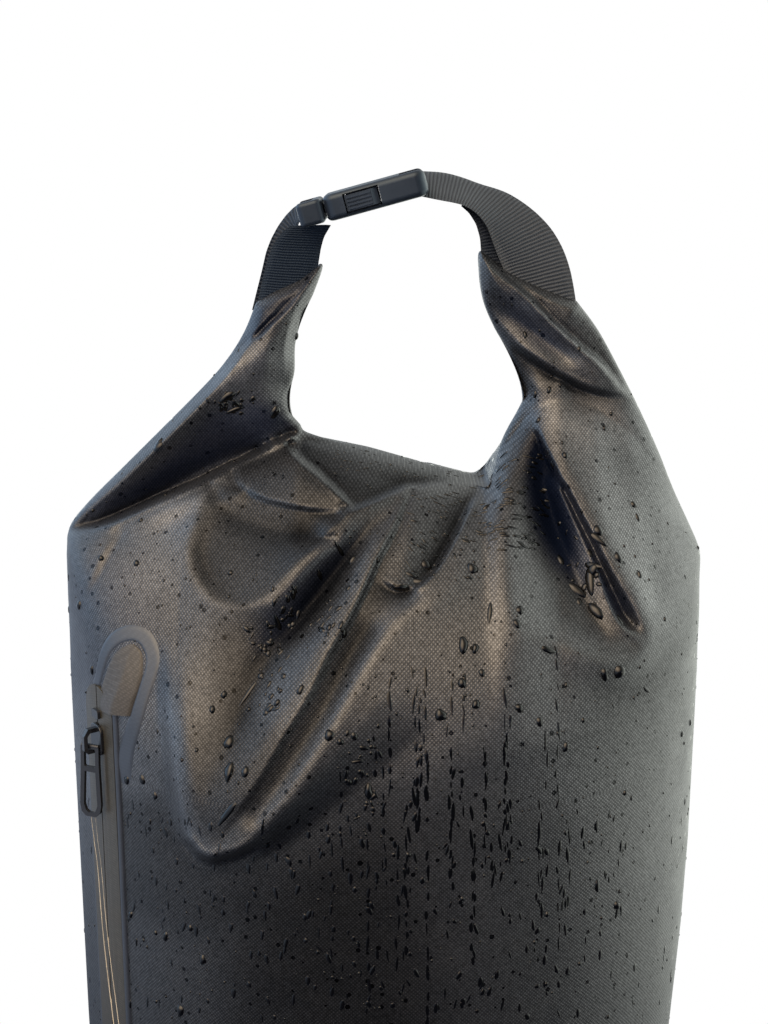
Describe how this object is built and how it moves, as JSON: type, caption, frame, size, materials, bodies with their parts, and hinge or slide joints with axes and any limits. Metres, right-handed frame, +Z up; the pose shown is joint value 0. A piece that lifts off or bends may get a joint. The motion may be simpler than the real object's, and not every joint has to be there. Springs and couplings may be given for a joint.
{
  "type": "roll-top dry bag",
  "caption": "Oval roll-top dry bag in coated fabric, its rolled collar buckled into a carry loop, with a zipped side pocket, welded base and side-release buckle.",
  "frame": {"origin": "centre of the base's resting face", "axes": "+Z up through the carry loop, -Y the bag's front, +X its right-hand side as seen from the front"},
  "size_m": [0.2924, 0.2324, 0.657],
  "materials": {
    "shell_fabric": "coated plain-weave polyester, wet sheen",
    "collar_fabric": "coated plain-weave polyester, wet sheen",
    "patch_fabric": "coated plain-weave polyester, welded edge",
    "base_fabric": "heavier coated fabric",
    "liner_fabric": "thin coated nylon",
    "weld_tape": "smooth welded seam tape",
    "zip_tape": "coated zip tape",
    "zip_coil": "moulded coil",
    "zip_metal": "glossy black enamel",
    "stiffener": "flexible strip",
    "webbing": "ribbed flat webbing",
    "buckle_plastic": "satin moulded plastic"
  },
  "bodies": {
    "bag": {"body_tube": "shell_fabric", "base_panel": "base_fabric", "base_weld_band": "weld_tape", "back_seam_strip": "weld_tape", "pocket_patch": "patch_fabric", "zipper_tape_front": "zip_tape", "zipper_tape_rear": "zip_tape", "zipper_teeth_front": "zip_coil", "zipper_teeth_rear": "zip_coil", "zip_top_stop": "zip_metal", "zip_bottom_stop": "zip_metal", "pocket_liner": "liner_fabric"},
    "slider": {"zip_slider": "zip_metal"},
    "puller": {"zip_puller": "zip_metal"},
    "handle": {"rolled_collar": "collar_fabric", "roll_stiffener": "stiffener", "webbing_left": "webbing", "webbing_right": "webbing", "buckle_female": "buckle_plastic"},
    "buckle_male": {"buckle_male_base": "buckle_plastic"},
    "prong_front": {"buckle_prong_front": "buckle_plastic"},
    "prong_rear": {"buckle_prong_rear": "buckle_plastic"}
  },
  "joints": [
    {"name": "handle_flop", "type": "hinge", "parent": "bag", "child": "handle", "pos_m": [0, 0, 0.49], "axis": [1, 0, 0], "range_deg": [-35, 35], "stiffness_Nm_per_rad": 1.2},
    {"name": "buckle_release", "type": "slide", "parent": "handle", "child": "buckle_male", "axis": [-0.9655, 0, -0.2605], "range_m": [0, 0.026], "deforming": ["webbing_left", "buckle_prong_front", "buckle_prong_rear"]},
    {"name": "prong_front_squeeze", "type": "hinge", "parent": "buckle_male", "child": "prong_front", "pos_m": [-0.02464, -0.0099, 0.63951], "axis": [-0.2605, 0, 0.9655], "range_deg": [0, 9], "stiffness_Nm_per_rad": 0.05},
    {"name": "prong_rear_squeeze", "type": "hinge", "parent": "buckle_male", "child": "prong_rear", "pos_m": [-0.02464, 0.0099, 0.63951], "axis": [-0.2605, 0, 0.9655], "range_deg": [-9, 0], "stiffness_Nm_per_rad": 0.05},
    {"name": "zip_slide", "type": "slide", "parent": "bag", "child": "slider", "axis": [0, 0, -1], "range_m": [0, 0.2], "deforming": ["zipper_teeth_front", "zipper_teeth_rear", "zipper_tape_front", "zipper_tape_rear"]},
    {"name": "puller_flip", "type": "hinge", "parent": "slider", "child": "puller", "pos_m": [-0.12986, -0.06062, 0.4086], "axis": [-0.6953, 0.7187, 0], "range_deg": [0, 160]}
  ],
  "couplings": [
    {"joint": "prong_rear_squeeze", "follows": "prong_front_squeeze", "ratio": -1}
  ]
}
